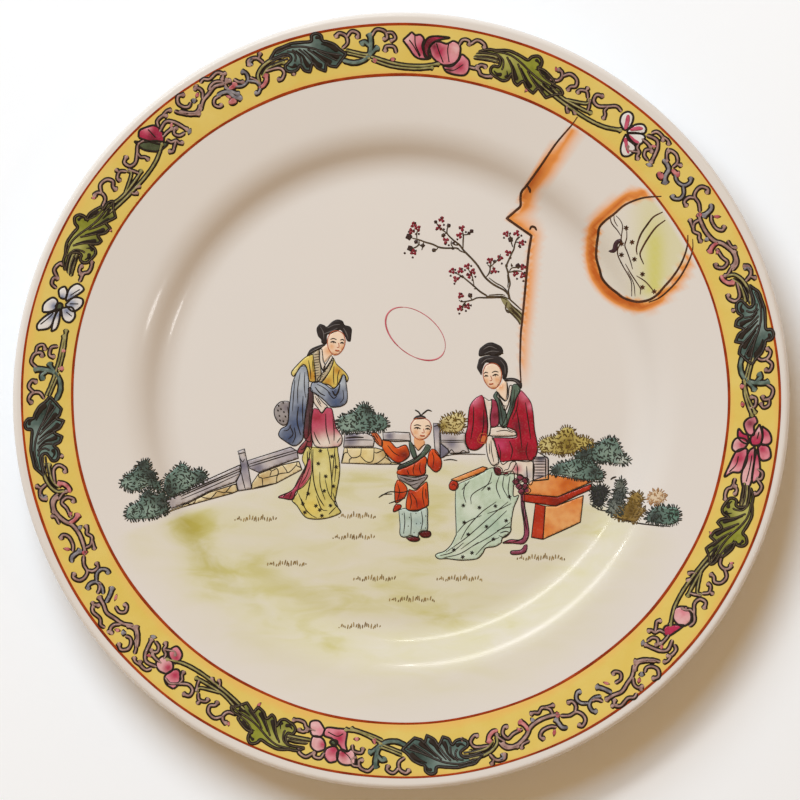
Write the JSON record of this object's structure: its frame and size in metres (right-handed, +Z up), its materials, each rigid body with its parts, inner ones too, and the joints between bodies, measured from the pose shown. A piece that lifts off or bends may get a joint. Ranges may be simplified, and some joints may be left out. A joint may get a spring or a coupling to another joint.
{
  "type": "dinner plate",
  "caption": "Round porcelain dinner plate on a foot ring, with a broad sloping rim, a yellow scroll border and a hand painted garden scene in raised enamels.",
  "frame": {"origin": "centre of the circle that the foot ring stands on", "axes": "+Z up out of the plate's face along its axis, +Y towards the top of the painted scene"},
  "size_m": [0.26, 0.26, 0.0215],
  "materials": {
    "bare_porcelain": "unglazed fired porcelain, matt and fine grained",
    "clear_glaze": "glossy clear glaze over a warm white body",
    "yellow_enamel": "glossy opaque yellow ground enamel, brushed",
    "iron_red": "thin iron red enamel line, satin",
    "leaf_green": "translucent green enamels over a black drawing",
    "rose_enamel": "rose enamel shaded from pink to white",
    "mauve_enamel": "mauve and grey enamel over a black drawing",
    "figure_enamels": "several translucent enamels over a black drawing",
    "orange_enamel": "soft shaded orange enamel with a brown line",
    "shrub_green": "dark green enamel with black leaf marks",
    "stone_grey": "grey blue wash with a brown line",
    "ink_line": "black outline enamel"
  },
  "bodies": {
    "root": {"porcelain_body": "bare_porcelain", "clear_glaze": "clear_glaze", "yellow_band": "yellow_enamel", "inner_red_line": "iron_red", "outer_red_line": "iron_red", "border_leaves": "leaf_green", "border_flowers": "rose_enamel", "border_scrolls": "mauve_enamel", "standing_lady": "figure_enamels", "child": "figure_enamels", "seated_lady": "figure_enamels", "lattice_box": "stone_grey", "bench": "orange_enamel", "plum_tree": "ink_line", "garden_wall": "stone_grey", "left_shrubs": "shrub_green", "right_shrubs": "shrub_green", "wall_edge": "orange_enamel", "moon_window": "orange_enamel", "oval_mark": "iron_red"}
  },
  "joints": []
}
